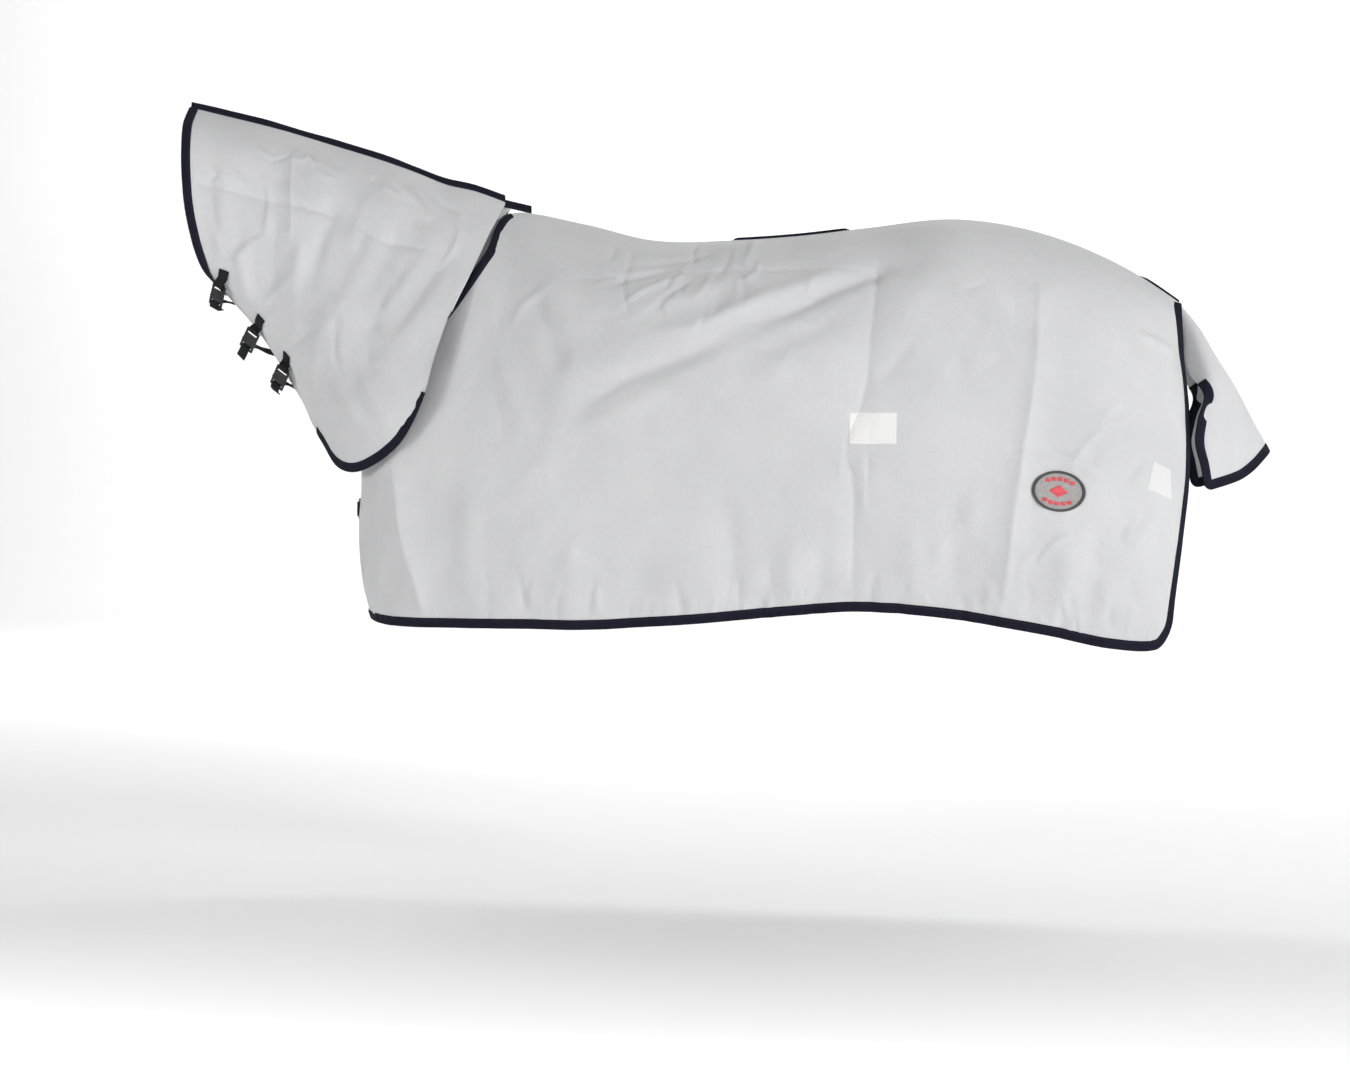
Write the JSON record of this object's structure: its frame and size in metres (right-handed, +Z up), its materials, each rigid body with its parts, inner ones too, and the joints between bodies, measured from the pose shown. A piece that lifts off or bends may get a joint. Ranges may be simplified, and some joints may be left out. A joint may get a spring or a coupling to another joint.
{
  "type": "horse rug",
  "caption": "Light cotton combo rug for a horse, with body, neck cover and tail flap, bound edges, chest and throat closures, hanging as worn.",
  "frame": {"origin": "on the spine seam at the middle of the back, where the rug rests on the horse", "axes": "-X towards the horse's head, -Y out of the near (left) side, +Z up"},
  "size_m": [2.482, 0.6534, 1.2385],
  "materials": {
    "cotton": "unbleached grey-white plain-weave cotton",
    "patch_cloth": "off-white cotton",
    "navy_tape": "navy binding tape, folded and stitched",
    "black_webbing": "black ribbed webbing",
    "black_plastic": "black moulded plastic",
    "badge_grey": "grey embroidered cloth with a dark rim"
  },
  "bodies": {
    "root": {"body_near": "cotton", "body_off": "cotton", "neck_near": "cotton", "neck_off": "cotton", "tail_flap": "cotton", "side_patch": "patch_cloth", "rear_patch": "patch_cloth", "edge_binding_near": "navy_tape", "edge_binding_off": "navy_tape", "neckline_binding": "navy_tape", "spine_binding": "navy_tape", "crest_binding": "navy_tape", "withers_binding": "navy_tape", "neck_front_binding": "navy_tape", "neck_lower_binding_near": "navy_tape", "neck_lower_binding_off": "navy_tape", "tail_flap_binding": "navy_tape", "throat_tab": "black_webbing", "throat_strap": "black_webbing", "neck_2_tab": "black_webbing", "neck_2_strap": "black_webbing", "neck_3_tab": "black_webbing", "neck_3_strap": "black_webbing", "chest_tab": "black_webbing", "chest_strap": "black_webbing", "throat_buckle": "black_plastic", "neck_2_buckle": "black_plastic", "neck_3_buckle": "black_plastic", "chest_buckle": "black_plastic", "badge": "badge_grey"}
  },
  "joints": []
}
